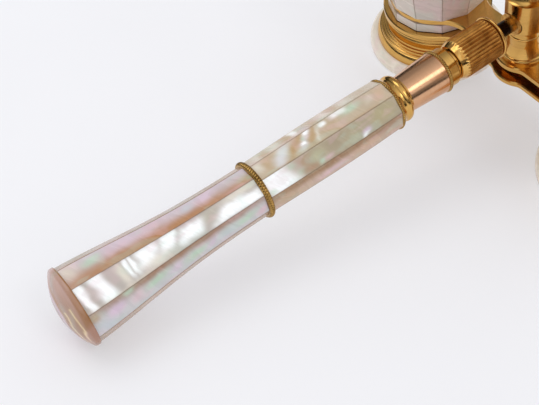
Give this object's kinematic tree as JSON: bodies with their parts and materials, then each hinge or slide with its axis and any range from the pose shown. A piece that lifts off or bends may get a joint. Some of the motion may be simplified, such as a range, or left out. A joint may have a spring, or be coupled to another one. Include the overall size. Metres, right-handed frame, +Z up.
{
  "type": "opera glasses",
  "caption": "Opera glasses with pearl-faced brass barrels, pearl eyecups, a geared focusing drum and a telescoping pearl handle.",
  "frame": {"origin": "centre of the footprint, on the surface that the glasses stand on", "axes": "+Z up from that surface, +Y from the butt of the handle towards the barrels, +X from the left barrel to the right one"},
  "size_m": [0.0988, 0.149, 0.0578],
  "materials": {
    "gilt_brass": "polished gilt",
    "drawn_brass": "fine lengthwise drawn",
    "rose_gilt": "mirror polished rose gilt",
    "fluted_gilt": "satin gilt, fluted",
    "aged_gilt": "milled, aged",
    "blackened_brass": "blackened",
    "oiled_brass": "oiled, darker towards the drum",
    "pearl_barrel": "polished mother-of-pearl",
    "pearl_eyecup": "polished mother-of-pearl",
    "pearl_grip": "polished mother-of-pearl",
    "pearl_butt": "polished mother-of-pearl",
    "steel": "turned",
    "core_wood": "plain turned",
    "optical_glass": "polished"
  },
  "bodies": {
    "glasses": {"barrel_tube_left": "gilt_brass", "barrel_tube_right": "gilt_brass", "barrel_pearl_left": "pearl_barrel", "barrel_pearl_right": "pearl_barrel", "ocular_pearl_left": "pearl_barrel", "ocular_pearl_right": "pearl_barrel", "objective_bezel_left": "gilt_brass", "objective_bezel_right": "gilt_brass", "objective_crown_left": "optical_glass", "objective_crown_right": "optical_glass", "objective_flint_left": "optical_glass", "objective_flint_right": "optical_glass", "barrel_guides": "drawn_brass", "objective_rings": "blackened_brass", "objective_bridge": "gilt_brass", "ocular_bridge": "gilt_brass", "bridge_nut": "gilt_brass", "column_lower": "gilt_brass", "gear_housing": "gilt_brass", "column_upper": "gilt_brass", "column_finial": "gilt_brass", "handle_stem": "steel", "stem_nut": "gilt_brass", "neck_collar": "gilt_brass", "neck_bead": "aged_gilt", "neck_cone": "rose_gilt", "inner_draw_tube": "drawn_brass", "inner_tube_collar": "drawn_brass"},
    "drum": {"focus_drum": "fluted_gilt", "drum_gear": "oiled_brass", "drum_flange": "gilt_brass"},
    "screw": {"focus_screw": "steel", "screw_gear": "drawn_brass"},
    "eyepieces": {"eyepiece_bridge": "gilt_brass", "focus_nut": "gilt_brass", "nut_cap": "gilt_brass", "draw_tube_left": "drawn_brass", "draw_tube_right": "drawn_brass", "eyepiece_mount_left": "gilt_brass", "eyepiece_mount_right": "gilt_brass", "eyecup_left": "pearl_eyecup", "eyecup_right": "pearl_eyecup", "eye_lens_left": "optical_glass", "eye_lens_right": "optical_glass", "eye_lens_rings": "blackened_brass"},
    "middle_tube": {"middle_draw_tube": "drawn_brass", "middle_tube_bush": "drawn_brass", "middle_tube_collar": "drawn_brass"},
    "grip": {"grip_ferrule": "gilt_brass", "ferrule_bead": "aged_gilt", "grip_tube": "drawn_brass", "grip_bush": "drawn_brass", "upper_grip_core": "core_wood", "lower_grip_core": "core_wood", "upper_pearl_staves": "pearl_grip", "lower_pearl_staves": "pearl_grip", "band_ring": "aged_gilt", "butt_plug": "drawn_brass", "butt_cap": "pearl_butt"}
  },
  "joints": [
    {"name": "drum_turn", "type": "hinge", "parent": "glasses", "child": "drum", "pos_m": [0, 0.05155, 0.03168], "axis": [0, 0.9834, 0.1812], "range_deg": [0, 720]},
    {"name": "screw_turn", "type": "hinge", "parent": "glasses", "child": "screw", "pos_m": [0, 0.05155, 0.03168], "axis": [0, -0.1812, 0.9834], "range_deg": [0, 720]},
    {"name": "eyepiece_slide", "type": "slide", "parent": "glasses", "child": "eyepieces", "axis": [0, 0.1812, -0.9834], "range_m": [0, 0.008]},
    {"name": "middle_tube_slide", "type": "slide", "parent": "glasses", "child": "middle_tube", "axis": [0, -0.9834, -0.1812], "range_m": [0, 0.032]},
    {"name": "grip_slide", "type": "slide", "parent": "middle_tube", "child": "grip", "axis": [0, -0.9834, -0.1812], "range_m": [0, 0.033]}
  ],
  "couplings": [
    {"joint": "drum_turn", "follows": "eyepiece_slide", "rad_per_m": 1570.8},
    {"joint": "screw_turn", "follows": "eyepiece_slide", "rad_per_m": 1570.8}
  ]
}
